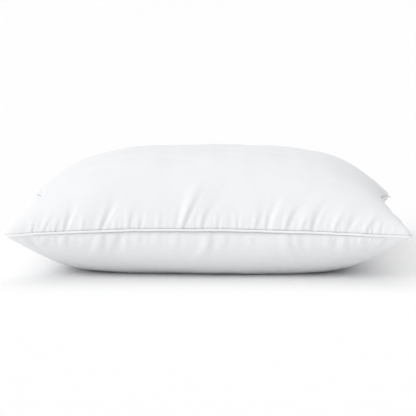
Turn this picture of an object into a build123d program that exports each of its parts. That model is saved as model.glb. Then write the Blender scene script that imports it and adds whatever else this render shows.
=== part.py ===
"""Bed pillow: a sewn, corded-edge ticking case stuffed with loose fibre, lying on its lower face.

Millimetres, +Z up, X along the long side, Y along the short side. The origin is the centre of the
flat patch that the pillow rests on. The case is two woven panels sewn face to face round the edge,
turned right side out and filled, so each panel is a thin shell whose edge folds inwards as a flat
seam allowance. Between the two allowances lies the flat flange of the corded edging, whose rolled
tube shows outside as a fine round edge.

Every closed outline in the model is eight tangent arcs: four long side arcs and four corner arcs.
The sides are hollow at the seam, where the filling pulls them in, and full near the crown.
"""

from build123d import *
import math
import os

os.makedirs("parts", exist_ok=True)

# ---- driving dimensions -------------------------------------------------------------------------
SEAM_HALF_X = 295.0        # middle of a short side to the centre, at the seam
SEAM_HALF_Y = 230.0        # middle of a long side to the centre, at the seam
SEAM_HEIGHT = 84.0         # seam plane above the resting face
CROWN_RISE = 103.0         # crown above the seam plane
REST_HALF_X = 185.0        # flat patch that the pillow rests on
REST_HALF_Y = 138.0

CLOTH = 1.0                # panel wall; the woven ticking and the fibres that cling to it
ALLOWANCE = 9.0            # width of the seam allowances
FILL_GAP = 0.4             # clearance between the fill and its case

TUBE_RADIUS = 1.7          # outside of the rolled edging
TUBE_BORE = 1.2            # inside of the rolled edging
CORD_RADIUS = 1.1          # filler cord inside the edging
TUBE_OUT = 1.9             # centre of the edging outside the seam line
FLANGE_LAP = 0.5           # how far the edging's flange runs into its tube
THREAD_RADIUS = 0.25
THREAD_IN = 3.0            # seam stitching, inside the seam line
THREAD_GAP = 0.02          # clearance between the stitching and the cloth it lies on
OVERLOCK_WIDTH = 2.0       # how far the serged binding reaches over the raw edges
OVERLOCK_WRAP = 0.7        # thickness of the binding past the raw edges

# ---- how the case bulges ------------------------------------------------------------------------
# At a share q of the way from the seam to the crown (or to the floor), a half length is
# end + (seam - end) * (1 - q ** (1 / steep)) ** (1 / blunt).
UPPER = {"rise": CROWN_RISE, "end_x": 0.0, "end_y": 0.0, "last": 0.992,
         "steep": 0.76, "blunt_x": 2.7, "blunt_y": 2.3}
LOWER = {"rise": -SEAM_HEIGHT, "end_x": REST_HALF_X, "end_y": REST_HALF_Y, "last": 1.0,
         "steep": 0.72, "blunt_x": 1.9, "blunt_y": 1.9}
LEVELS = 12                # outlines between the seam and the crown or the floor, closer at both ends

# A side's bow is how far it stands out in its middle, as a share of half its length. The short sides
# come first, and then the long ones.
SEAM_BOWS = (-0.11, -0.045)
CROWN_BOWS = (0.13, 0.13)
CORNER_RADIUS = 11.0       # at the seam
ROUNDING = 0.6             # corner radius near the crown, as a share of the shorter half length
EASE = 1.4                 # how late the bow and the corners change above and below the seam

# ---- closing seam and care label ----------------------------------------------------------------
CLOSING_LENGTH = 190.0     # the opening that the fill went in through, on the +Y side
STITCH_PITCH = 3.4
STITCH_LENGTH = 2.5
STITCH_GAP = 0.15          # clearance between a closing stitch and the edging
LABEL_WIDTH = 32.0
LABEL_DROP = 46.0
LABEL_THICK = 0.8
LABEL_BEND = 0.6           # how far the label's middle stands out
LABEL_GAP = 0.3            # clearance between the label and the edging
LABEL_X = -205.0           # centre of the label along the +Y side

HALF_FLANGE = 0.5 * CLOTH
LAYER_TOP = HALF_FLANGE + CLOTH        # from the seam plane to the outside of an allowance
FOLD_LAP = 0.8 * CLOTH                 # how far an allowance runs into its panel's wall


# ---- outlines -----------------------------------------------------------------------------------
def corner_centre(half_x, half_y, bows, radius):
    """Centre of the corner arc of an outline whose sides pass through half_x and half_y."""
    room_x = half_x - radius
    room_y = half_y - radius
    share = 1 - bows[0] * bows[1]
    return (room_x - bows[0] * room_y) / share, (room_y - bows[1] * room_x) / share


def side_radius(side, along, across, corner):
    """Radius of the side arc that touches two corner arcs: above 0 on a hollow side, below 0 on a
    full one. side is the arc's middle, and the corner arcs have their centres at along, +-across."""
    gap = side - along
    return (corner**2 - across**2 - gap**2) / (2 * (gap - corner))


def outline(z, half_x, half_y, bows, radius, grow=0.0):
    """Closed wire at height z, and grow offsets all of it outwards."""
    centre_x, centre_y = corner_centre(half_x, half_y, bows, radius)
    side_x = half_x + grow
    side_y = half_y + grow
    corner = radius + grow
    radius_x = side_radius(side_x, centre_x, centre_y, corner)
    radius_y = side_radius(side_y, centre_y, centre_x, corner)

    def touch(pole_x, pole_y, arc):
        # where the corner arc meets the side arc with its centre at the pole
        share = corner / (arc + corner)
        return centre_x + (pole_x - centre_x) * share, centre_y + (pole_y - centre_y) * share

    right = touch(side_x + radius_x, 0.0, radius_x)
    upper = touch(0.0, side_y + radius_y, radius_y)
    middle = math.atan2(right[1] + upper[1] - 2 * centre_y, right[0] + upper[0] - 2 * centre_x)
    tip = centre_x + corner * math.cos(middle), centre_y + corner * math.sin(middle)

    def at(point, sign_x, sign_y):
        return sign_x * point[0], sign_y * point[1], z

    edges = []
    for sign_x, sign_y in ((1, 1), (-1, 1), (-1, -1), (1, -1)):
        same = sign_x * sign_y > 0
        start, end = (right, upper) if same else (upper, right)
        after = (-sign_x, sign_y) if same else (sign_x, -sign_y)
        crest = (0, sign_y * side_y, z) if same else (sign_x * side_x, 0, z)
        corner_points = [at(point, sign_x, sign_y) for point in (start, tip, end)]
        edges.append(ThreePointArc(*corner_points))
        edges.append(ThreePointArc(at(end, sign_x, sign_y), crest, at(end, *after)))
    return Wire(edges)


def seam_outline(z=SEAM_HEIGHT, grow=0.0):
    return outline(z, SEAM_HALF_X, SEAM_HALF_Y, SEAM_BOWS, CORNER_RADIUS, grow)


def back_seam_y(x, grow):
    """Y of the +Y side of the seam outline, offset outwards by grow, at the given X."""
    centre_x, centre_y = corner_centre(SEAM_HALF_X, SEAM_HALF_Y, SEAM_BOWS, CORNER_RADIUS)
    side = SEAM_HALF_Y + grow
    radius = side_radius(side, centre_y, centre_x, CORNER_RADIUS + grow)
    return side + radius - math.sqrt(radius**2 - x**2)


# ---- the bulged case ----------------------------------------------------------------------------
def half_lengths(half, q):
    """Half lengths of the case's outline at the share q of the way from the seam."""
    narrowing = max(0.0, 1.0 - q ** (1.0 / half["steep"]))
    half_x = half["end_x"] + (SEAM_HALF_X - half["end_x"]) * narrowing ** (1 / half["blunt_x"])
    half_y = half["end_y"] + (SEAM_HALF_Y - half["end_y"]) * narrowing ** (1 / half["blunt_y"])
    return half_x, half_y


def steepness(half, q, step=0.01):
    """Angle of the case's wall to the horizontal at q, on the long sides."""
    low = max(q - step, 0.0)
    high = min(q + step, 1.0)
    run = half_lengths(half, low)[1] - half_lengths(half, high)[1]
    return math.atan2(abs(half["rise"]) * (high - low), run)


def contour(half, q, inset, base):
    """The case's outline at the share q of the way from the seam, inset along the wall's normal."""
    half_x, half_y = half_lengths(half, q)
    angle = steepness(half, q)
    ease = q**EASE
    bows = [seam + (crown - seam) * ease for seam, crown in zip(SEAM_BOWS, CROWN_BOWS)]
    radius = CORNER_RADIUS + (ROUNDING * half_y - CORNER_RADIUS) * ease
    level = base + half["rise"] * q
    if q > 0:
        level -= math.copysign(inset * math.cos(angle), half["rise"])
    return outline(level, half_x, half_y, bows, radius, grow=-inset * math.sin(angle))


def bulge(half, inset, base):
    """Solid between the seam plane and the crown or the floor."""
    shares = [half["last"] * (1 - math.cos(math.pi * i / LEVELS)) / 2 for i in range(LEVELS + 1)]
    return Solid.make_loft([contour(half, q, inset, base) for q in shares])


def ring(z_low, z_high, grow_outer, grow_inner):
    """Flat ring that follows the seam outline."""
    outer = extrude(Face(seam_outline(z_low, grow_outer)), amount=z_high - z_low, dir=(0, 0, 1))
    inner = extrude(Face(seam_outline(z_low, grow_inner)), amount=z_high - z_low, dir=(0, 0, 1))
    return outer - inner


def loop(z, grow, radius):
    """Round bar bent into a closed loop along the seam outline."""
    path = seam_outline(z, grow)
    start = path.edges()[1]
    section = Plane(origin=start @ 0.5, z_dir=start % 0.5) * Circle(radius)
    return sweep(section, path=path)


# ---- pieces -------------------------------------------------------------------------------------
def make_panel(half):
    """One ticking panel: the bulged shell and the seam allowance folded in from its edge."""
    up = math.copysign(1.0, half["rise"])
    base = SEAM_HEIGHT + up * HALF_FLANGE
    to_end = {**half, "rise": half["rise"] - up * HALF_FLANGE}
    shell = bulge(to_end, 0.0, base) - bulge(to_end, CLOTH, base)
    low, high = sorted((base, base + up * CLOTH))
    return shell + ring(low, high, -FOLD_LAP, -ALLOWANCE)


def make_piping_cover():
    """Bias strip rolled round the filler cord, with its two edges flat between the panels."""
    tube = loop(SEAM_HEIGHT, TUBE_OUT, TUBE_RADIUS)
    flange = ring(SEAM_HEIGHT - HALF_FLANGE, SEAM_HEIGHT + HALF_FLANGE, FLANGE_LAP, -ALLOWANCE)
    return tube + flange - loop(SEAM_HEIGHT, TUBE_OUT, TUBE_BORE)


def make_fill():
    """Loose fibre: it takes up the whole inside of the case, apart from a slot all round that holds
    the seam allowances. A core as wide as the slot leaves room joins the two halves."""
    inset = CLOTH + FILL_GAP
    slot_half = LAYER_TOP + 2 * THREAD_RADIUS + 2 * FILL_GAP
    slot_in = ALLOWANCE + OVERLOCK_WRAP + 2 * FILL_GAP
    top = SEAM_HEIGHT + slot_half
    bottom = SEAM_HEIGHT - slot_half
    upper = split(bulge(UPPER, inset, SEAM_HEIGHT), bisect_by=Plane.XY.offset(top), keep=Keep.TOP)
    lower = split(bulge(LOWER, inset, SEAM_HEIGHT), bisect_by=Plane.XY.offset(bottom), keep=Keep.BOTTOM)
    core = extrude(Face(seam_outline(bottom, -slot_in)), amount=top - bottom, dir=(0, 0, 1))
    return upper + core + lower


def make_overlock_thread():
    """Serged binding, as a channel round the raw edges of the three layers."""
    reach = LAYER_TOP + 2 * THREAD_RADIUS
    around = ring(SEAM_HEIGHT - reach, SEAM_HEIGHT + reach, OVERLOCK_WIDTH - ALLOWANCE,
                  -ALLOWANCE - OVERLOCK_WRAP)
    room = ring(SEAM_HEIGHT - LAYER_TOP, SEAM_HEIGHT + LAYER_TOP, 0.0, -ALLOWANCE)
    return around - room


def make_seam_thread(side):
    """Lockstitch thread of the edge seam, on the inner face of the upper (1) or lower (-1) allowance."""
    away = LAYER_TOP + THREAD_RADIUS + THREAD_GAP
    return loop(SEAM_HEIGHT + side * away, -THREAD_IN, THREAD_RADIUS)


def make_closing_thread():
    """Row of short stitches in the groove between the edging and the upper panel."""
    count = int(CLOSING_LENGTH / STITCH_PITCH)
    z = SEAM_HEIGHT + TUBE_RADIUS + THREAD_RADIUS + STITCH_GAP
    stitches = []
    for i in range(count):
        x = (i - (count - 1) / 2) * STITCH_PITCH
        place = Pos(x, back_seam_y(x, TUBE_OUT), z) * Rot(0, 90, 0)
        stitches.append(place * Cylinder(THREAD_RADIUS, STITCH_LENGTH))
    return Compound(children=stitches)


def make_care_label():
    """Plain folded tape, caught in the seam under the edging and hanging from it."""
    top = SEAM_HEIGHT - TUBE_RADIUS - LABEL_GAP
    middle = top - 0.5 * LABEL_DROP
    bottom = top - LABEL_DROP
    front = back_seam_y(LABEL_X, TUBE_OUT)
    back = front - LABEL_THICK
    side = Polyline((front, top), (front + LABEL_BEND, middle), (front, bottom),
                    (back, bottom), (back + LABEL_BEND, middle), (back, top), close=True)
    return extrude(Plane.YZ.offset(LABEL_X - 0.5 * LABEL_WIDTH) * make_face(side), amount=LABEL_WIDTH)


nodes = {
    "top_panel": make_panel(UPPER),
    "bottom_panel": make_panel(LOWER),
    "piping_cover": make_piping_cover(),
    "piping_cord": loop(SEAM_HEIGHT, TUBE_OUT, CORD_RADIUS),
    "needle_thread": make_seam_thread(1),
    "bobbin_thread": make_seam_thread(-1),
    "overlock_thread": make_overlock_thread(),
    "closing_thread": make_closing_thread(),
    "fibre_fill": make_fill(),
    "care_label": make_care_label(),
}

for name, shape in nodes.items():
    export_step(shape, f"parts/{name}.step")
    print(name, len(shape.solids()), round(shape.volume), shape.is_valid)
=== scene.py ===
"""Looks of the bed pillow: a white percale case with a corded edge, full of loose fibre.

Metres, +Z up, X along the long side, Y along the short side, the origin at the centre of the patch
that the pillow rests on. Places come from the frame; what is added here is cloth, thread and fibre.
"""
import math

import bpy
import numpy as np
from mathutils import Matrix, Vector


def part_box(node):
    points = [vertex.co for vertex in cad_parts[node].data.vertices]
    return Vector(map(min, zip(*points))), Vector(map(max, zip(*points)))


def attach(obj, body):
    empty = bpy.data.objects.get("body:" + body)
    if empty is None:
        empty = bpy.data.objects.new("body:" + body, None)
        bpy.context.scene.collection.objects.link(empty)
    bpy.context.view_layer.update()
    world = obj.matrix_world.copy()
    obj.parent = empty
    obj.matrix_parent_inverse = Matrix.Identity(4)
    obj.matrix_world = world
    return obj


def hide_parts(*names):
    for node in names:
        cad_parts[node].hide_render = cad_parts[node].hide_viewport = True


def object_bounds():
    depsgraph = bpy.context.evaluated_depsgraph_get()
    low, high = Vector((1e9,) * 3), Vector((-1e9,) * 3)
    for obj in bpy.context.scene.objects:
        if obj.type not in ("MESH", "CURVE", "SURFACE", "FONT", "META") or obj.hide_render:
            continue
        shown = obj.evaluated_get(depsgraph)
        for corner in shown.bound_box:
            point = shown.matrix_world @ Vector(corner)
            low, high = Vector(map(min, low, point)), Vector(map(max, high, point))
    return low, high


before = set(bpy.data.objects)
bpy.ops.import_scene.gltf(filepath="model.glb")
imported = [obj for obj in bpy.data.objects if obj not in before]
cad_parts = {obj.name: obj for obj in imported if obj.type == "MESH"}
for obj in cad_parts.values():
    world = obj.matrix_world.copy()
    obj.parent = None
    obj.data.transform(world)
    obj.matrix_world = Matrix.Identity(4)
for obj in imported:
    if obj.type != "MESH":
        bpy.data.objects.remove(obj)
cad_low, cad_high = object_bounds()

MM = 0.001

# ---- sizes --------------------------------------------------------------------------------------
edging_low, edging_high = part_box("piping_cover")
label_low, label_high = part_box("care_label")
closing_low, closing_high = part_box("closing_thread")

EDGING_OUT = 1.9 * MM                  # centre of the corded edge outside the seam line
EDGING_RADIUS = 1.7 * MM
CORD_RADIUS = 1.25 * MM
FLANGE = 0.4 * MM                      # half of the strip's two layers where they lie flat
CLOTH = 0.4 * MM                       # woven ticking
ALLOWANCE = 9 * MM                     # seam allowance folded into the case

CORNER_X = edging_high.x - EDGING_OUT - EDGING_RADIUS      # reach of the seam line
CORNER_Y = edging_high.y - EDGING_OUT - EDGING_RADIUS
CORNER_ROUND = 14 * MM
PULL_X = 30.6 * MM                      # how far the filling pulls in the middle of a short side
PULL_Y = 13 * MM                       # and of a long side
SEAM_Z = cad_low.z + 84 * MM           # seam at the middle of a long side
DROOP = 8.7 * MM                       # how far the front corners hang below that
REAR_DROOP = 3 * MM                    # and how much further the rear ones do
FRONT_LEAN = 2.5 * MM                  # the front seam runs a little higher on the left
CROWN_Z = cad_high.z - 0.5 * MM
CROWN_ASIDE = 0.035                    # how far the crown leans to the right, as a share of half the length
UPPER_HUMP = (3.26, 0.59, 3.42, 0.75)  # power and bluntness along X, then along Y
LOWER_HUMP_X = (5.0, 0.54)
LOWER_POWER_Y = 3.6
LOWER_DEPTH = 1.11                     # of the lower hump if the floor weren't there, in seam heights
PANEL_HALF_X, PANEL_HALF_Y = 345 * MM, 270 * MM   # half of the cloth over the crown

GRID_X, GRID_Y = 400, 270              # points of a panel along X and Y
CROWDING = 0.35                        # how much closer together they are near the seam
FULLNESS = 0.65                        # how far the upper corners are filled out


# ---- grids and meshes ---------------------------------------------------------------------------
def spread(count):
    """Numbers from -1 to 1, closer together towards both ends: a straight line mixed with its sine."""
    line = np.linspace(-1, 1, count)
    return (1 - CROWDING) * line + CROWDING * np.sin(0.5 * math.pi * line)


def normals(grid):
    """Unit normals of a grid of points: the cross product of its two directions."""
    cross = np.cross(np.gradient(grid, axis=0), np.gradient(grid, axis=1))
    return cross / np.maximum(np.linalg.norm(cross, axis=-1, keepdims=True), 1e-12)


def grid_faces(index, wrap_rows=False, wrap_columns=False):
    """Four-sided faces between the neighbours of a grid of point numbers, closed round if asked."""
    if wrap_rows:
        index = np.concatenate([index, index[:1]], axis=0)
    if wrap_columns:
        index = np.concatenate([index, index[:, :1]], axis=1)
    corners = [index[:-1, :-1], index[1:, :-1], index[1:, 1:], index[:-1, 1:]]
    return np.stack(corners, axis=-1).reshape(-1, 4)


def border(grid):
    """The grid's border as one closed line, anticlockwise from above, without repeated points."""
    return np.concatenate([grid[:-1, 0], grid[-1, :-1], grid[:0:-1, -1], grid[0, :0:-1]])


def make_piece(name, points, faces, material, uv=None):
    """Mesh object at the origin, smooth shaded, with a UV in metres of cloth for each point. The faces
    are an array, or a list where some have three corners."""
    mesh = bpy.data.meshes.new(name)
    face_list = faces if isinstance(faces, list) else faces.tolist()
    mesh.from_pydata(points.reshape(-1, 3).tolist(), [], face_list)
    mesh.polygons.foreach_set("use_smooth", np.ones(len(mesh.polygons), bool))
    if uv is not None:
        corner_point = np.empty(len(mesh.loops), np.int32)
        mesh.loops.foreach_get("vertex_index", corner_point)
        layer = mesh.uv_layers.new(name="cloth")
        layer.data.foreach_set("uv", uv.reshape(-1, 2)[corner_point].astype(np.float32).ravel())
    mesh.update()
    piece = bpy.data.objects.new(name, mesh)
    bpy.context.scene.collection.objects.link(piece)
    mesh.materials.append(material)
    return piece


# ---- shape of the case --------------------------------------------------------------------------
def seam_plan(s, t):
    """X and Y over the panel. A square corner block becomes a quarter disc, each coordinate times the
    root of 1 less half the other squared, and then a power of the other side's share pulls the middle
    of each side in."""
    x, y = np.abs(s) * CORNER_X, np.abs(t) * CORNER_Y
    u = np.maximum(1 - (CORNER_X - x) / CORNER_ROUND, 0)
    v = np.maximum(1 - (CORNER_Y - y) / CORNER_ROUND, 0)
    x = x - CORNER_ROUND * u * (1 - np.sqrt(1 - v**2 / 2))
    y = y - CORNER_ROUND * v * (1 - np.sqrt(1 - u**2 / 2))
    pull_x = PULL_X / CORNER_X * (1 - (y / CORNER_Y) ** 2.9)
    pull_y = PULL_Y / CORNER_Y * (1 - (x / CORNER_X) ** 2)
    return np.sign(s) * x * (1 - pull_x), np.sign(t) * y * (1 - pull_y)


def waver(along, phase):
    """Slow unevenness of a hand-fed seam, from -1 to 1: three sines of unrelated lengths."""
    return (np.sin(along / (23 * MM) + phase) + 0.6 * np.sin(along / (11.3 * MM) + 2.1 * phase)
            + 0.4 * np.sin(along / (6.1 * MM) + 3.7 * phase)) / 2


def seam_height(s, t):
    """Height of the seam, carried over the panel: it droops to the corners, leans in front, and wavers
    by a fraction of a millimetre near the seam."""
    near = np.maximum(s**24, t**24)
    wave = 0.45 * MM * near * waver(s * CORNER_X + t * CORNER_Y * 0.7, 1.3)
    droop = (DROOP + REAR_DROOP * 0.5 * (1 + t)) * (s * t) ** 2
    return SEAM_Z - droop - FRONT_LEAN * s * (1 - s**2) * 0.5 * (1 - t) + wave


def crowned(s, t, power_x, blunt_x, power_y, blunt_y, fullness):
    """Share of the full rise, zero all along the seam: the product of two flat-topped humps, mixed with
    that product over the humps' sum less itself, which fills the corners out."""
    hump_x = np.maximum(1 - np.abs(s) ** power_x, 0) ** blunt_x
    hump_y = np.maximum(1 - np.abs(t) ** power_y, 0) ** blunt_y
    product = hump_x * hump_y
    full = product / np.maximum(hump_x + hump_y - product, 1e-9)
    return (1 - fullness) * product + fullness * full


CLOTH_LUMPS = ((190, 0.45), (150, 0.45), (120, 0.4), (95, 0.35), (70, 0.3), (52, 0.22), (41, 0.15))
FIBRE_CLUMPS = ((60, 0.8), (42, 0.7), (30, 0.5), (21, 0.35), (15, 0.25))


def lumps(s, t, waves, seed):
    """Unevenness of loose fibre, in metres: a sum of sine waves in every direction, each given by its
    length and height in mm. It fades out towards the seam."""
    rng = np.random.default_rng(seed)
    x, y = s * CORNER_X, t * CORNER_Y
    total = np.zeros_like(s)
    for length, height in waves:
        for turn in rng.uniform(0, 2 * math.pi, 3):
            phase = rng.uniform(0, 2 * math.pi)
            total += height * MM / 1.7 * np.sin(
                2 * math.pi * (x * math.cos(turn) + y * math.sin(turn)) / (length * MM) + phase)
    return total * (1 - s**4) * (1 - t**4)


def upper_shape(s, t):
    """The crown leans to the right by a small share, the same at both ends of the seam."""
    x, y = seam_plan(s, t)
    aside = s - CROWN_ASIDE * (1 - s**2)
    rise = (CROWN_Z - SEAM_Z) * crowned(aside, t, *UPPER_HUMP, FULLNESS)
    return np.stack([x, y, seam_height(s, t) + rise + lumps(s, t, CLOTH_LUMPS, 5)], axis=-1)


def lower_shape(s, t):
    """The lower hump would reach under the floor, and what does lies flat on it. Its front and back are
    steeper in the middle, where the filling is heaviest, than towards the corners."""
    x, y = seam_plan(s, t)
    blunt_y = 0.75 - 0.3 * (1 - s**2) ** 2
    drop = LOWER_DEPTH * SEAM_Z * crowned(s, t, *LOWER_HUMP_X, LOWER_POWER_Y, blunt_y, 0)
    z = seam_height(s, t) - drop + 0.6 * lumps(s, t, CLOTH_LUMPS, 6)
    return np.stack([x, y, np.maximum(z, 0)], axis=-1)


# ---- puckers ------------------------------------------------------------------------------------
# Short folds that the gathered cloth makes along the seam. Each is its place along the side, how far
# it reaches into the panel, how far its end leans towards +X (or +Y) and how high it stands, in mm. A
# fold with a height below zero is a hollow.
FRONT_UPPER = [
    (-296, 18, 6, 1.2), (-279, 24, 10, 1.4), (-262, 36, 16, 2.0), (-243, 30, 8, 1.3), (-224, 60, 12, -3.0),
    (-198, 26, 4, 1.3), (-168, 68, 24, -3.4), (-146, 28, 5, 1.4), (-126, 38, 4, 1.8), (-106, 30, 3, -1.5),
    (-80, 26, 2, 1.1), (-44, 88, 38, 5.0), (-14, 50, 26, 2.2), (14, 24, 6, -1.1), (42, 30, 4, 1.1),
    (70, 40, 8, 1.7), (92, 66, 34, -3.0), (118, 54, 34, 2.6), (140, 40, 24, 1.8), (162, 58, 36, -2.8),
    (194, 46, 30, 2.2), (216, 36, 20, -1.7), (240, 42, 26, 2.0), (262, 30, 18, 1.6), (284, 22, 12, 1.2),
]
BROAD_UPPER = [
    (-246, 52, 20, 1.5), (-196, 70, 24, 1.7), (-142, 74, 26, 1.6), (-26, 120, 46, 2.6), (60, 84, 30, 1.6),
    (104, 96, 56, 2.4), (150, 86, 52, 2.0), (198, 74, 46, 1.8), (244, 56, 34, 1.4),
]
FRONT_LOWER = [
    (-285, 66, 58, -3.0), (-252, 34, -12, 1.5), (-222, 30, -8, 1.3), (-168, 60, -26, 2.6),
    (-134, 60, -8, -2.8), (-112, 34, -4, 1.6), (-78, 30, -4, 1.4), (-46, 38, -8, 1.8), (2, 66, -34, 3.0),
    (30, 34, -10, 1.6), (66, 30, 0, 1.4), (118, 66, 38, 2.6), (144, 46, 24, -2.0), (184, 36, 8, 1.6),
    (212, 54, 10, 2.4), (238, 38, 12, 1.8), (285, 60, -52, -2.6),
]
CORNER_FADE = 30 * MM                  # how far from a corner the folds are at their full height
SHORT_SIDE_FOLDS = 0.5                 # height of the folds along the short sides
SWELL_SOFTNESS = 2.6                   # width of the wide swells, beside that of the folds


def some_puckers(rng, half_length, gap):
    """Puckers for a side that has no list: spaced unevenly, mostly short, a few of them long."""
    places = np.arange(-half_length + 22, half_length - 18, gap)
    rows = []
    for place in places:
        reach = 18 + 42 * rng.random() ** 2.2
        rows.append((place + gap * rng.uniform(-0.3, 0.3), reach, rng.uniform(-0.3, 0.5) * reach,
                     0.7 + 0.05 * reach * rng.uniform(0.7, 1.2)))
    return rows


def some_small_puckers(rng, half_length, gap):
    """The low, short folds between the larger ones of a side that has a list."""
    places = np.arange(-half_length + 12, half_length - 10, gap)
    return [(place + gap * rng.uniform(-0.45, 0.45), rng.uniform(9, 34), rng.uniform(-4, 14),
             rng.uniform(-0.5, 1.0) * (0.7 + 0.3 * math.sin(place / 55))) for place in places]


def pucker_height(along, away, rows, softness):
    """Sum of the folds at a distance along the side and away from the seam. Across, a fold is a rounded
    ridge with a narrow crease close beside it; lengthwise, it widens steadily from the seam, is highest
    a fifth of the way along and has a long tail, the share times its exponential decay."""
    total = np.zeros_like(along)
    for place, reach, lean, height in rows:
        share = np.clip(away / (1.3 * reach * MM), 0, 1)
        width = softness * (2.0 + 0.012 * reach + 0.075 * reach * share) * MM
        swerve = 0.08 * reach * math.sin(place) * np.sin(math.pi * share)
        across = (along - place * MM - (lean * share + swerve) * MM) / width
        ridge = np.exp(-0.5 * across**2)
        creases = 0.38 * np.exp(-0.5 * ((across - 1.7) / 0.6) ** 2) \
            + 0.32 * np.exp(-0.5 * ((across + 1.9) / 0.7) ** 2)
        rise = share / 0.2 * np.exp(1 - share / 0.2) * (1 - share**2)
        total += height * MM * rise * (ridge - creases)
    return total


def stitch_puckers(along, away, phase):
    """Fine gathers right beside the edging, one for every few stitches: a cosine along the seam whose
    pitch wanders, strong in some places and weak in others, dying out within a centimetre."""
    wander = 2.2 * np.sin(along / (27 * MM) + phase) + 1.3 * np.sin(along / (11 * MM) + 2 * phase)
    strength = 0.55 + 0.45 * np.sin(along / (43 * MM) + 3 * phase)
    rise = (away / (2.5 * MM)) * np.exp(1 - away / (2.5 * MM)) * 0.5 + 0.5 * np.exp(-away / (6 * MM)) \
        * np.minimum(away / (1.5 * MM), 1)
    return 0.6 * MM * strength * np.cos(2 * math.pi * along / (7.4 * MM) + wander) * rise


def corner_fade(away):
    """For each side, from 0 at its two corners to 1 further along: 1 less a bell of the distance."""
    front, back, left, right = away
    along_y, along_x = (1 - np.exp(-(np.minimum(*pair) / CORNER_FADE) ** 2)
                        for pair in ((front, back), (left, right)))
    return [along_x, along_x, along_y, along_y]


def pucker_field(shape, rows_by_side, softness, broad):
    """Height of all the folds over a panel. The four sides are -Y, +Y, -X and +X, and broad holds the
    wide swells of the front."""
    x, y = shape[..., 0], shape[..., 1]
    along = [x, x, y, y]
    away = distances(shape)
    shares = [1, 1, SHORT_SIDE_FOLDS, SHORT_SIDE_FOLDS]
    fades = corner_fade(away)
    total = fades[0] * pucker_height(x, away[0], broad, SWELL_SOFTNESS)
    for side, (a, d, rows) in enumerate(zip(along, away, rows_by_side)):
        folds = pucker_height(a, d, rows, softness) + stitch_puckers(a, d, 0.8 + side)
        total += shares[side] * fades[side] * folds
    return total


def distances(shape):
    """Distance of each point from the -Y, +Y, -X and +X borders, measured along the cloth."""
    step_x = np.linalg.norm(np.diff(shape, axis=0), axis=-1)
    step_y = np.linalg.norm(np.diff(shape, axis=1), axis=-1)
    from_left = np.concatenate([np.zeros((1, GRID_Y)), np.cumsum(step_x, axis=0)])
    from_front = np.concatenate([np.zeros((GRID_X, 1)), np.cumsum(step_y, axis=1)], axis=1)
    return [from_front, from_front[:, -1:] - from_front, from_left, from_left[-1:] - from_left]


# ---- cloth simulation ---------------------------------------------------------------------------
NEIGHBOURS = [((1, 0), 1.0), ((0, 1), 1.0), ((1, 1), 0.25), ((1, -1), 0.25)]   # warp, weft and bias
STIFFNESS = 0.25                       # share of a thread's stretch that is taken back in a step
BENDING = 0.06
GATHER = 0.045                         # extra cloth along the seam, over what the laid folds take up
GATHER_REACH = 24 * MM
PUSH = 0.000004                        # move of a point in a step from the push of the filling


def pairs(grid, offset):
    """The grid and the grid moved by offset, cut to where they overlap."""
    rows, columns = offset
    first = grid[:grid.shape[0] - rows, max(-columns, 0):grid.shape[1] - max(columns, 0)]
    second = grid[rows:, max(columns, 0):grid.shape[1] + min(columns, 0)]
    return first, second


def lengths(grid):
    """Length of every thread between neighbours, in one array for each direction."""
    return [np.linalg.norm(b - a, axis=-1) for a, b in (pairs(grid, offset) for offset, _ in NEIGHBOURS)]


def thread_pull(grid, cut):
    """Move of each point that brings the threads to their cut lengths."""
    move = np.zeros_like(grid)
    for (offset, share), length in zip(NEIGHBOURS, cut):
        a, b = pairs(grid, offset)
        move_a, move_b = pairs(move, offset)
        span = b - a
        now = np.sqrt(np.einsum("ijk,ijk->ij", span, span))
        pull = (STIFFNESS * share * (1 - length / now))[..., None] * span
        move_a += pull
        move_b -= pull
    return move


def laplacian(grid):
    """Each point's mean neighbour less the point itself, and zero on the border."""
    out = np.zeros_like(grid)
    out[1:-1, 1:-1] = 0.25 * (grid[2:, 1:-1] + grid[:-2, 1:-1] + grid[1:-1, 2:] + grid[1:-1, :-2]) \
        - grid[1:-1, 1:-1]
    return out


def settle(start, cut, push, hold, steps):
    """Cloth held at its border, at rest under its threads, its stiffness to bending away from its laid
    folds, the push of the filling along its normals, and the filling's hold on the laid shape. Each
    step adds these moves to the last one, slowed; nothing goes below the floor."""
    grid = start.copy()
    speed = np.zeros_like(grid)
    for _ in range(steps):
        offset = grid - start
        bend = -BENDING * laplacian(laplacian(offset))
        move = thread_pull(grid, cut) + bend + push[..., None] * normals(grid) - hold[..., None] * offset
        speed = 0.85 * speed + move
        speed[0] = speed[-1] = 0
        speed[:, 0] = speed[:, -1] = 0
        grid = grid + speed
        grid[..., 2] = np.maximum(grid[..., 2], 0)
    return grid


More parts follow.
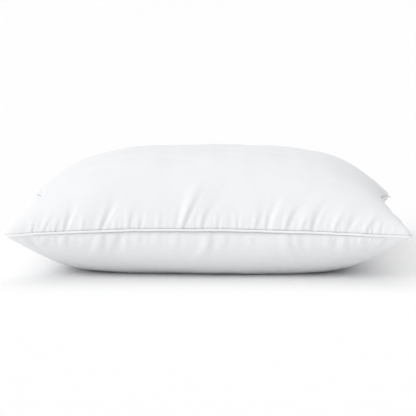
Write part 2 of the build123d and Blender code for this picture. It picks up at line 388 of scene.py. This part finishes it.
def make_panel_points(smooth, rows_by_side, side, softness, broad, steps):
    """Smooth shape, folds laid on it, and then the simulation. side is 1 above and -1 below. The folds
    fade out on the floor, which presses them flat."""
    raised = np.clip(smooth[..., 2] / (12 * MM), 0, 1)
    folds = (pucker_field(smooth, rows_by_side, softness, broad) * raised)[..., None]
    folded = smooth + folds * normals(smooth) * side
    folded[..., 2] = np.maximum(folded[..., 2], 0)
    away = distances(smooth)
    fade_x, _, fade_y, _ = corner_fade(away)
    from_front, from_back, from_left, from_right = away
    away_y, away_x = np.minimum(from_front, from_back), np.minimum(from_left, from_right)
    ease_x = fade_x * GATHER * np.exp(-(away_y / GATHER_REACH) ** 2)
    ease_y = SHORT_SIDE_FOLDS * fade_y * GATHER * np.exp(-(away_x / GATHER_REACH) ** 2)
    eases = [1 + ease_x, 1 + ease_y] + 2 * [1 + 0.5 * (ease_x + ease_y)]
    cut = [length * pairs(ease, offset)[0]
           for length, ease, (offset, _) in zip(lengths(folded), eases, NEIGHBOURS)]
    filling = 1 - np.exp(-(np.minimum(away_x, away_y) / (55 * MM)) ** 2)
    push = side * PUSH * (0.4 + 0.6 * filling)
    hold = 0.0008 + 0.008 * filling
    return settle(folded, cut, push, hold, steps)


# ---- finishes -----------------------------------------------------------------------------------
def linear(hex_colour):
    """sRGB hex to the linear red, green, blue and alpha that a shader takes."""
    channels = [int(hex_colour[i:i + 2], 16) / 255 for i in (1, 3, 5)]
    return [c / 12.92 if c <= 0.04045 else ((c + 0.055) / 1.055) ** 2.4 for c in channels] + [1.0]


def add(tree, kind, links=(), **settings):
    """Adds a node. Settings are its properties or, by name, its inputs; links are (input, socket)."""
    node = tree.nodes.new("ShaderNode" + kind)
    for key, value in settings.items():
        name = key.replace("_", " ")
        if name in node.inputs:
            node.inputs[name].default_value = value
        else:
            setattr(node, key, value)
    for name, socket in links:
        tree.links.new(node.inputs[name], socket)
    return node


def new_finish(name):
    material = bpy.data.materials.new(name)
    material.use_nodes = True
    material.node_tree.nodes.clear()
    return material, material.node_tree


def make_percale(name, colour, turned=0.0):
    """Cotton percale: fine plain weave, bleached and calendered. To the eye it is matt and even, with
    a soft sheen at grazing angles and a very fine grain from thread to thread. The real threads are
    0.25 mm apart, too fine to show, so the slubs are drawn 1.6 mm wide and the weave 1 mm."""
    material, tree = new_finish(name)
    place = add(tree, "UVMap", uv_map="cloth")
    turn = add(tree, "Mapping", [("Vector", place.outputs["UV"])])
    turn.inputs["Rotation"].default_value[2] = turned
    grain = []
    for stretch in ((1, 0.12, 1), (0.12, 1, 1)):
        squeeze = add(tree, "Mapping", [("Vector", turn.outputs["Vector"])])
        squeeze.inputs["Scale"].default_value = stretch
        grain.append(add(tree, "TexNoise", [("Vector", squeeze.outputs["Vector"])],
                         Scale=1 / (1.6 * MM), Detail=3.0, Roughness=0.6))
    both = add(tree, "Math", [(0, grain[0].outputs["Fac"]), (1, grain[1].outputs["Fac"])], operation="ADD")
    weave = []
    for direction in ("X", "Y"):
        weave.append(add(tree, "TexWave", [("Vector", turn.outputs["Vector"])], bands_direction=direction,
                         Scale=2 * math.pi / (20 * 1.0 * MM), Distortion=0.6))
    crossed = add(tree, "Math", [(0, weave[0].outputs["Fac"]), (1, weave[1].outputs["Fac"])],
                  operation="MULTIPLY")
    cloudy = add(tree, "TexNoise", [("Vector", place.outputs["UV"])], Scale=1 / (70 * MM), Detail=2.0)
    half = add(tree, "Math", [(0, both.outputs[0])], operation="MULTIPLY")
    half.inputs[1].default_value = 0.5
    tint = add(tree, "MixRGB", [("Fac", half.outputs[0])], blend_type="MIX")
    tint.inputs["Color1"].default_value = linear(colour[0])
    tint.inputs["Color2"].default_value = linear(colour[1])
    cloud = add(tree, "MixRGB", [("Fac", cloudy.outputs["Fac"]), ("Color1", tint.outputs["Color"])],
                blend_type="MULTIPLY")
    cloud.inputs["Color2"].default_value = linear("#f9f9f8")
    rough = add(tree, "MapRange", [("Value", half.outputs[0])])
    rough.inputs["To Min"].default_value = 0.78
    rough.inputs["To Max"].default_value = 0.92
    fine = add(tree, "Bump", [("Height", crossed.outputs[0])], Strength=0.25, Distance=0.06 * MM)
    slub = add(tree, "Bump", [("Height", both.outputs[0]), ("Normal", fine.outputs["Normal"])],
               Strength=0.5, Distance=0.12 * MM)
    shader = add(tree, "BsdfPrincipled", [("Base Color", cloud.outputs["Color"]),
                                          ("Roughness", rough.outputs["Result"]),
                                          ("Normal", slub.outputs["Normal"])])
    shader.inputs["Specular IOR Level"].default_value = 0.15
    shader.inputs["Sheen Weight"].default_value = 0.04
    shader.inputs["Sheen Roughness"].default_value = 0.5
    add(tree, "OutputMaterial", [("Surface", shader.outputs["BSDF"])])
    return material


def make_twisted(name, colours, pitch, strands, relief, roughness):
    """Spun yarn or cord: plies twisted together. To the eye it is a round line with slanted ribs and
    darker grooves between the plies. That darkness is painted shade in the colour, laid over the bump.
    The UV runs along the line in metres, and once round it from 0 to 1, so a sine of both draws the
    plies. pitch is the length of one full twist."""
    material, tree = new_finish(name)
    place = add(tree, "UVMap", uv_map="cloth")
    split = add(tree, "SeparateXYZ", [("Vector", place.outputs["UV"])])
    along = add(tree, "Math", [(0, split.outputs["X"])], operation="MULTIPLY")
    along.inputs[1].default_value = 2 * math.pi * strands / pitch
    round_it = add(tree, "Math", [(0, split.outputs["Y"])], operation="MULTIPLY")
    round_it.inputs[1].default_value = 2 * math.pi * strands
    both = add(tree, "Math", [(0, along.outputs[0]), (1, round_it.outputs[0])], operation="ADD")
    wave = add(tree, "Math", [(0, both.outputs[0])], operation="SINE")
    ply = add(tree, "MapRange", [("Value", wave.outputs[0])])
    ply.inputs["From Min"].default_value = -1.0
    hairs = add(tree, "TexNoise", [("Vector", place.outputs["UV"])], Scale=1 / (0.5 * MM), Detail=2.0)
    # Painted shade: the colour is darker where the ply wave is low, in the grooves between the plies.
    painted_groove_shade = add(tree, "MixRGB", [("Fac", ply.outputs["Result"])], blend_type="MIX")
    painted_groove_shade.inputs["Color1"].default_value = linear(colours[0])
    painted_groove_shade.inputs["Color2"].default_value = linear(colours[1])
    fuzz = add(tree, "MixRGB", [("Fac", hairs.outputs["Fac"]), ("Color1", painted_groove_shade.outputs["Color"])],
               blend_type="MULTIPLY")
    fuzz.inputs["Color2"].default_value = linear("#f1f1ef")
    ribs = add(tree, "Bump", [("Height", ply.outputs["Result"])], Strength=0.8, Distance=relief)
    shader = add(tree, "BsdfPrincipled", [("Base Color", fuzz.outputs["Color"]),
                                          ("Normal", ribs.outputs["Normal"])], Roughness=roughness)
    shader.inputs["Sheen Weight"].default_value = 0.2
    add(tree, "OutputMaterial", [("Surface", shader.outputs["BSDF"])])
    return material


def make_fibre_finish():
    """Polyester staple fibre: crimped, carded and blown in. To the eye it is a soft white mass with
    clumps a few centimetres wide and hair-fine strands that run every way. The strands are 0.03 mm
    thick, so they are drawn as streaks of 1.5 mm."""
    material, tree = new_finish("carded_polyester_fibre")
    place = add(tree, "TexCoord")
    clumps = add(tree, "TexNoise", [("Vector", place.outputs["Object"])], Scale=1 / (28 * MM), Detail=4.0)
    strands = add(tree, "TexNoise", [("Vector", place.outputs["Object"])], Scale=1 / (1.5 * MM), Detail=5.0,
                  Roughness=0.7, Distortion=2.5)
    tint = add(tree, "MixRGB", [("Fac", strands.outputs["Fac"])], blend_type="MIX")
    tint.inputs["Color1"].default_value = linear("#dcdcdc")
    tint.inputs["Color2"].default_value = linear("#f6f6f6")
    height = add(tree, "Math", [(0, clumps.outputs["Fac"]), (1, strands.outputs["Fac"])], operation="ADD")
    bump = add(tree, "Bump", [("Height", height.outputs[0])], Strength=0.9, Distance=1.2 * MM)
    shader = add(tree, "BsdfPrincipled", [("Base Color", tint.outputs["Color"]),
                                          ("Normal", bump.outputs["Normal"])], Roughness=0.95)
    shader.inputs["Sheen Weight"].default_value = 0.3
    shader.inputs["Subsurface Weight"].default_value = 0.1
    add(tree, "OutputMaterial", [("Surface", shader.outputs["BSDF"])])
    return material


def make_satin_tape():
    """Polyester satin tape, woven narrow with finished edges. To the eye it is smooth and slightly
    shiny across its warp, with fine lines along it. The warp ends are 0.12 mm apart and are drawn
    0.6 mm apart, and the finished edges are 1.5 mm wide."""
    material, tree = new_finish("woven_satin_tape")
    place = add(tree, "UVMap", uv_map="cloth")
    lines = add(tree, "TexWave", [("Vector", place.outputs["UV"])], bands_direction="X",
                Scale=2 * math.pi / (20 * 0.6 * MM), Distortion=0.3)
    split = add(tree, "SeparateXYZ", [("Vector", place.outputs["UV"])])
    side = add(tree, "Math", [(0, split.outputs["X"])], operation="ABSOLUTE")
    edge = add(tree, "Math", [(0, side.outputs[0])], operation="GREATER_THAN")
    edge.inputs[1].default_value = 0.5 * (label_high.x - label_low.x) - 1.5 * MM
    tint = add(tree, "MixRGB", [("Fac", edge.outputs[0])], blend_type="MIX")
    tint.inputs["Color1"].default_value = linear("#f4f4f3")
    tint.inputs["Color2"].default_value = linear("#e6e6e4")
    ribs = add(tree, "Bump", [("Height", lines.outputs["Fac"])], Strength=0.35, Distance=0.08 * MM)
    shader = add(tree, "BsdfPrincipled", [("Base Color", tint.outputs["Color"]),
                                          ("Normal", ribs.outputs["Normal"])], Roughness=0.42)
    shader.inputs["Specular IOR Level"].default_value = 0.45
    shader.inputs["Anisotropic"].default_value = 0.4
    add(tree, "OutputMaterial", [("Surface", shader.outputs["BSDF"])])
    return material


percale = make_percale("bleached_percale", ("#ecedf0", "#f3f4f6"))
bias_percale = make_percale("bias_cut_percale", ("#f3f3f3", "#fafafa"), turned=math.radians(45))
filler_yarn = make_twisted("twisted_cotton_filler", ("#d8d3c6", "#efece3"), 7 * MM, 3, 0.25 * MM, 0.9)
sewing_thread = make_twisted("spun_polyester_thread", ("#e4e4e3", "#f7f7f7"), 1.2 * MM, 2, 0.06 * MM, 0.6)


# ---- the case -----------------------------------------------------------------------------------
S, T = np.meshgrid(spread(GRID_X), spread(GRID_Y), indexing="ij")
rng = np.random.default_rng(20)
side_rows = [some_puckers(rng, 1000 * half, gap) for half, gap in
             ((CORNER_X, 25), (CORNER_Y, 26), (CORNER_Y, 24), (CORNER_X, 27), (CORNER_Y, 25), (CORNER_Y, 28))]
small_rows = [some_small_puckers(rng, 1000 * CORNER_X, gap) for gap in (13, 17)]
upper_rows = [FRONT_UPPER + small_rows[0], side_rows[0], side_rows[1], side_rows[2]]
lower_rows = [FRONT_LOWER + small_rows[1], side_rows[3], side_rows[4], side_rows[5]]
STEPS = 300
UPPER_SOFTNESS, LOWER_SOFTNESS = 1.0, 1.5      # width of the folds: the lower panel's are broader

smooth_upper = upper_shape(S, T)
smooth_lower = lower_shape(S, T)
upper = make_panel_points(smooth_upper, upper_rows, 1, UPPER_SOFTNESS, BROAD_UPPER, STEPS)
lower = make_panel_points(smooth_lower, lower_rows, -1, LOWER_SOFTNESS, (), STEPS)
seam_line = border(upper)
run = np.concatenate([[0], np.cumsum(np.linalg.norm(np.diff(seam_line, axis=0), axis=-1))])


def drawn_in(line, inset):
    """A line round the case moved inwards by inset, as a share of its distance from the centre."""
    return line * np.array([1 - inset / CORNER_X, 1 - inset / CORNER_Y, 1.0])


def make_ticking(name, grid, side):
    """One panel: the bulged grid, and rows past its border for the allowance that is folded in. The
    two panels stand apart by the strip's flange. The allowance is wound on from the panel, so that its
    outer face lies against the strip, and Solidify gives the cloth its thickness away from it."""
    lift = np.array([0, 0, side * FLANGE])
    insets = np.array([1.2 * MM, 3 * MM, 6 * MM, ALLOWANCE])
    edge = border(grid) + lift
    near = np.exp(-(np.minimum.reduce(distances(grid)) / (6 * MM)) ** 2)
    body = grid + near[..., None] * lift
    body[..., 2] = np.maximum(body[..., 2], 0)
    rows = np.stack([drawn_in(edge, inset) for inset in insets])
    points = np.concatenate([body.reshape(-1, 3), rows.reshape(-1, 3)])
    index = np.arange(GRID_X * GRID_Y).reshape(GRID_X, GRID_Y)
    edge_index = border(index)
    row_index = GRID_X * GRID_Y + np.arange(rows.shape[0] * len(edge)).reshape(rows.shape[0], -1)
    allowance = grid_faces(np.concatenate([edge_index[None], row_index]), wrap_columns=True)
    faces = np.concatenate([grid_faces(index), allowance])
    if side < 0:
        faces = faces[:, ::-1]
    cloth = np.stack([S * PANEL_HALF_X, T * PANEL_HALF_Y], axis=-1)
    cloth_rows = np.stack([border(cloth) * (1 + inset / CORNER_X) for inset in insets])
    uv = np.concatenate([cloth.reshape(-1, 2), cloth_rows.reshape(-1, 2)])
    piece = make_piece(name, points, faces, percale, uv)
    wall = piece.modifiers.new("cloth", "SOLIDIFY")
    wall.thickness = CLOTH
    wall.offset = -1
    return piece


top_panel = make_ticking("top_ticking", upper, 1)
bottom_panel = make_ticking("bottom_ticking", lower, -1)


# ---- the corded edge ----------------------------------------------------------------------------
def outward_of(line):
    """Level unit vectors that point out of a closed line, square to its direction."""
    ahead = np.roll(line, -1, axis=0) - np.roll(line, 1, axis=0)
    outward = np.stack([ahead[:, 1], -ahead[:, 0], np.zeros(len(line))], axis=-1)
    return outward / np.linalg.norm(outward, axis=-1, keepdims=True)


UP = np.array([0.0, 0.0, 1.0])


def carried(line, profile):
    """Carries a profile of (out, up) points round the closed line. What lies inside the seam is drawn
    in as the allowances are, so that it doesn't fold over itself at the corners."""
    outward = outward_of(line)
    rows = [drawn_in(line, max(-out, 0)) + max(out, 0) * outward + up * UP for out, up in profile]
    return np.stack(rows, axis=1)


def arc(centre, radius, start, end, count):
    """Points on a circle, from one angle to another in degrees."""
    angles = np.radians(np.linspace(start, end, count))
    return [(centre + radius * math.cos(a), radius * math.sin(a)) for a in angles]


def make_edging():
    """Bias strip rolled round the cord: a keyhole profile, with its two layers flat side by side from
    the seam to the raw edges, and a slit between them that opens into the bore."""
    slit = 0.04 * MM
    strip = FLANGE - 0.02 * MM
    bore = CORD_RADIUS + 0.04 * MM
    neck = math.degrees(math.asin(strip / EDGING_RADIUS))
    inner_neck = math.degrees(math.asin(slit / bore))
    flat = [0.0, -3 * MM, -6 * MM, -ALLOWANCE]
    outline = arc(EDGING_OUT, EDGING_RADIUS, -180 + neck, 180 - neck, 17)
    outline += [(out, strip) for out in flat] + [(out, slit) for out in flat[::-1]]
    outline += arc(EDGING_OUT, bore, 180 - inner_neck, -180 + inner_neck, 15)
    outline += [(out, -slit) for out in flat] + [(out, -strip) for out in flat[::-1]]
    points = carried(seam_line, outline)
    index = np.arange(points.shape[0] * points.shape[1]).reshape(points.shape[:2])
    steps = np.linalg.norm(np.diff(np.array(outline), axis=0), axis=-1)
    across = np.concatenate([[0], np.cumsum(steps)])
    uv = np.stack(np.broadcast_arrays(run[:, None], across[None]), axis=-1)
    return make_piece("corded_edge", points, grid_faces(index, True, True), bias_percale, uv)


def tube(line, radius, sides, closed, uv_start=0.0):
    """Round tube along a line: rings square to the line's direction, with the ring's first radius kept
    level. Open ends are left open here. make_closing closes its own with a point at each end."""
    ahead = np.roll(line, -1, axis=0) - np.roll(line, 1, axis=0) if closed else np.gradient(line, axis=0)
    ahead /= np.linalg.norm(ahead, axis=-1, keepdims=True)
    level = np.cross(ahead, UP)
    level /= np.maximum(np.linalg.norm(level, axis=-1, keepdims=True), 1e-9)
    steep = np.cross(level, ahead)
    angles = 2 * math.pi * np.arange(sides) / sides
    rings = line[:, None] + radius * (np.cos(angles)[None, :, None] * level[:, None]
                                      + np.sin(angles)[None, :, None] * steep[:, None])
    index = np.arange(len(line) * sides).reshape(len(line), sides)
    faces = grid_faces(index, closed, True)
    length = np.concatenate([[0], np.cumsum(np.linalg.norm(np.diff(line, axis=0), axis=-1))])
    uv = np.stack(np.broadcast_arrays(length[:, None], np.arange(sides)[None] / sides), axis=-1)
    return rings.reshape(-1, 3), faces, uv.reshape(-1, 2), index


def make_cord():
    """Filler cord: a tube along the middle of the corded edge."""
    core = carried(seam_line, [(EDGING_OUT, 0.0)])[:, 0]
    points, faces, uv, _ = tube(core, CORD_RADIUS, 12, True)
    return make_piece("filler_cord", points, faces, filler_yarn, uv)


def resampled(line, count):
    """The closed line as count points, evenly spaced along it."""
    closed = np.concatenate([line, line[:1]])
    length = np.concatenate([[0], np.cumsum(np.linalg.norm(np.diff(closed, axis=0), axis=-1))])
    places = np.linspace(0, length[-1], count, endpoint=False)
    return np.stack([np.interp(places, length, closed[:, k]) for k in range(3)], axis=-1)


STITCH = 2.6 * MM
PERIMETER = run[-1]
STITCH_COUNT = int(PERIMETER / STITCH)
THREAD_RADIUS = 0.17 * MM


def make_lockstitch(name, side):
    """One thread of the edge seam. It lies along the inner face of an allowance, and at each needle
    hole it dips into the layers: its height is the face's, less a narrow dip every stitch length."""
    per_stitch = 8
    line = drawn_in(resampled(seam_line, STITCH_COUNT * per_stitch), 3 * MM)
    turn = 2 * math.pi * np.arange(len(line)) / per_stitch
    dip = np.exp(3.5 * (np.cos(turn) - 1))
    line = line + (side * (FLANGE + CLOTH + THREAD_RADIUS + 0.03 * MM - 0.5 * MM * dip))[:, None] * UP
    points, faces, uv, _ = tube(line, THREAD_RADIUS, 6, True)
    return make_piece(name, points, faces, sewing_thread, uv)


def make_overlock():
    """Serging: one thread that winds round the raw edges, over the face, round the edge and back under.
    Its path is an ellipse in the cross-section that moves along the seam by one loop each turn."""
    per_loop = 12
    loops = int(PERIMETER / (2.2 * MM))
    line = resampled(seam_line, loops * per_loop)
    turn = 2 * math.pi * np.arange(len(line)) / per_loop
    inset = ALLOWANCE - 1.6 * MM + 2.2 * MM * np.cos(turn)
    shift = np.stack([inset / CORNER_X, inset / CORNER_Y, np.zeros(len(line))], axis=-1)
    line = line * (1 - shift) + ((FLANGE + CLOTH + 0.45 * MM) * np.sin(turn))[:, None] * UP
    points, faces, uv, _ = tube(line, 0.16 * MM, 5, True)
    return make_piece("overlock_thread_loops", points, faces, sewing_thread, uv)


def make_closing():
    """Ladder stitches that close the opening: short slanted bars over the groove between the edging and
    the upper panel. Each is an arch whose ends go down into the cloth."""
    pitch = 3.4 * MM
    count = 1 + int((closing_high.x - closing_low.x) / pitch)
    back = upper[:, -1]
    middle = 0.5 * (closing_low.x + closing_high.x)
    centres = middle + (np.arange(count) - 0.5 * (count - 1)) * pitch
    seam_y = np.interp(centres, back[:, 0], back[:, 1])
    seam_z = np.interp(centres, back[:, 0], back[:, 2])
    share = np.linspace(-1, 1, 9)
    arch = 1 - share**4
    path = np.stack(np.broadcast_arrays(
        centres[:, None] + 0.55 * pitch * share[None] * 0.8,
        seam_y[:, None] + (0.9 + 0.9 * share[None]) * MM,
        seam_z[:, None] + (1.15 + 0.95 * arch[None] + 0.1 * share[None]) * MM), axis=-1)
    points, faces, uvs, offset = [], [], [], 0
    for line in path:
        ring_points, ring_faces, uv, index = tube(line, 0.24 * MM, 7, False)
        ends = np.array([line[0], line[-1]])
        first = np.stack([index[0], np.roll(index[0], -1), np.full(7, len(ring_points))], axis=-1)
        last = np.stack([np.roll(index[-1], -1), index[-1], np.full(7, len(ring_points) + 1)], axis=-1)
        points.append(np.concatenate([ring_points, ends]))
        uvs.append(np.concatenate([uv, uv[[0, -1]]]))
        faces += (ring_faces + offset).tolist() + (first + offset).tolist() + (last + offset).tolist()
        offset += len(ring_points) + 2
    return make_piece("closing_stitches", np.concatenate(points), faces, sewing_thread, np.concatenate(uvs))


def make_fill():
    """Loose fibre inside the case: the smooth upper and lower shapes, drawn in and set back from the
    cloth, joined all round by one strip, with clumps as a sum of short sine waves."""
    count_x, count_y = 170, 120
    s, t = np.meshgrid(0.955 * spread(count_x), 0.94 * spread(count_y), indexing="ij")
    halves = []
    for shape, side, seed in ((upper_shape, 1, 11), (lower_shape, -1, 12)):
        grid = shape(s, t)
        clumps = np.abs(lumps(s, t, FIBRE_CLUMPS, seed))
        half = grid - side * normals(grid) * (5 * MM + clumps[..., None])
        halves.append(half)
    index = np.arange(count_x * count_y).reshape(count_x, count_y)
    below = index + index.size
    strip = grid_faces(np.stack([border(below), border(index)]), wrap_columns=True)[:, ::-1]
    faces = np.concatenate([grid_faces(index), grid_faces(below)[:, ::-1], strip])
    points = np.concatenate([half.reshape(-1, 3) for half in halves])
    return make_piece("loose_fibre", points, faces, make_fibre_finish())


def make_label():
    """Blank tape folded in two, with its ends caught in the seam. Its profile goes out under the edging,
    hangs down in a slight curve, turns back in a half circle and rises behind itself; across its
    width it bows a little. Solidify gives it the tape's thickness."""
    width = label_high.x - label_low.x
    middle = 0.5 * (label_low.x + label_high.x)
    back = upper[:, -1]
    seam_y = np.interp(middle, back[:, 0], back[:, 1])
    seam_z = np.interp(middle, back[:, 0], back[:, 2])
    drop = label_high.z - label_low.z
    out = EDGING_OUT + 0.4 * MM
    gap = 0.35 * MM
    depth = np.linspace(0, 1, 26)
    sway = 2.4 * MM * np.sin(0.5 * math.pi * depth) ** 2
    under = EDGING_RADIUS + 0.35 * MM
    front = np.stack([out + gap + sway, -under - drop * depth], axis=-1)
    rear = np.stack([out - gap + sway, -under - drop * depth], axis=-1)
    fold = np.radians(np.linspace(0, -180, 9))[1:-1]
    turned = np.stack([out + sway[-1] + gap * np.cos(fold), -under - drop + gap * np.sin(fold)], axis=-1)
    inward = np.linspace(-5 * MM, out - 1.2 * MM, 8)
    tuck = 0.2 * MM + (under - 0.4 * MM) * np.clip(inward / out, 0, 1) ** 1.5
    lead = np.stack([inward, -tuck], axis=-1)
    profile = np.concatenate([lead + [0, gap * 0.3], front, turned, rear[::-1], lead[::-1] - [0, gap * 0.6]])
    across = np.linspace(-0.5, 0.5, 21)
    bow = 0.9 * MM * (1 - 4 * across**2)
    hang = np.clip(-profile[:, 1] / drop, 0, 1)
    x = middle + width * across[None]
    y = seam_y + profile[:, :1] + bow[None] * hang[:, None] + 1.2 * MM * across[None] * hang[:, None]
    z = seam_z + profile[:, 1:]
    points = np.stack(np.broadcast_arrays(x, y, z), axis=-1)
    length = np.concatenate([[0], np.cumsum(np.linalg.norm(np.diff(profile, axis=0), axis=-1))])
    uv = np.stack(np.broadcast_arrays(width * across[None], length[:, None]), axis=-1)
    index = np.arange(points.shape[0] * points.shape[1]).reshape(points.shape[:2])
    piece = make_piece("blank_care_label", points, grid_faces(index), make_satin_tape(), uv)
    wall = piece.modifiers.new("tape", "SOLIDIFY")
    wall.thickness = 0.2 * MM
    wall.offset = 0
    return piece


corded_edge = make_edging()
filler_cord = make_cord()
needle_thread = make_lockstitch("needle_thread_line", 1)
bobbin_thread = make_lockstitch("bobbin_thread_line", -1)
overlock = make_overlock()
closing = make_closing()
fill = make_fill()
label = make_label()


# ---- floor, light and camera --------------------------------------------------------------------
def make_floor():
    """Studio sweep: matt white painted board, even and without grain at this distance."""
    material, tree = new_finish("matt_white_board")
    shader = add(tree, "BsdfPrincipled", Roughness=0.9)
    shader.inputs["Base Color"].default_value = linear("#fcfcfc")
    shader.inputs["Specular IOR Level"].default_value = 0.1
    add(tree, "OutputMaterial", [("Surface", shader.outputs["BSDF"])])
    size = 60.0
    points = np.array([[-size, -size, 0], [size, -size, 0], [size, size, 0], [-size, size, 0]])
    floor = make_piece("studio_floor", points, np.array([[0, 1, 2, 3]]), material)


def make_softbox(name, towards_lamp, energy, angle):
    """A lamp far away, as wide as a softbox looks from the pillow. Its light comes from the direction
    given, which is turned into a rotation of the lamp's own -Z."""
    lamp = bpy.data.lights.new(name, "SUN")
    lamp.energy = energy
    lamp.angle = math.radians(angle)
    x, y, z = towards_lamp
    piece = bpy.data.objects.new(name, lamp)
    piece.rotation_euler = (math.atan2(math.hypot(x, y), z), 0, math.atan2(x, -y))
    bpy.context.scene.collection.objects.link(piece)


def make_light():
    """White room light from everywhere, with a broad softbox overhead and a smaller one front left."""
    world = bpy.data.worlds.new("studio")
    bpy.context.scene.world = world
    world.use_nodes = True
    back = world.node_tree.nodes["Background"]
    back.inputs["Color"].default_value = (1, 1, 1, 1)
    back.inputs["Strength"].default_value = 0.66
    make_softbox("overhead_softbox", (-0.15, 0.30, 1.0), 0.68, 70)
    make_softbox("left_softbox", (-0.64, -0.56, 0.50), 1.0, 40)


def make_camera():
    """Long lens from three metres in front and half a metre above the seam, turned a degree aside."""
    lens = bpy.data.cameras.new("camera")
    lens.sensor_width = 36
    lens.lens = 170.6
    lens.clip_end = 200
    camera = bpy.data.objects.new("camera", lens)
    camera.location = (0.050, -(CORNER_Y + 3.034), SEAM_Z + 0.473)
    camera.rotation_euler = (math.radians(90 - 8.184), 0, math.radians(0.942))
    bpy.context.scene.collection.objects.link(camera)
    bpy.context.scene.camera = camera


make_floor()
make_light()
make_camera()
bpy.context.scene.view_settings.view_transform = "Standard"

# ---- what each piece stands for -----------------------------------------------------------------
for piece, node, slot in (
    (top_panel, "top_panel", "ticking"),
    (bottom_panel, "bottom_panel", "ticking"),
    (corded_edge, "piping_cover", "piping"),
    (filler_cord, "piping_cord", "cord"),
    (needle_thread, "needle_thread", "thread"),
    (bobbin_thread, "bobbin_thread", "thread"),
    (overlock, "overlock_thread", "thread"),
    (closing, "closing_thread", "thread"),
    (fill, "fibre_fill", "fibre"),
    (label, "care_label", "label"),
):
    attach(piece, "root")
    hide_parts(node)
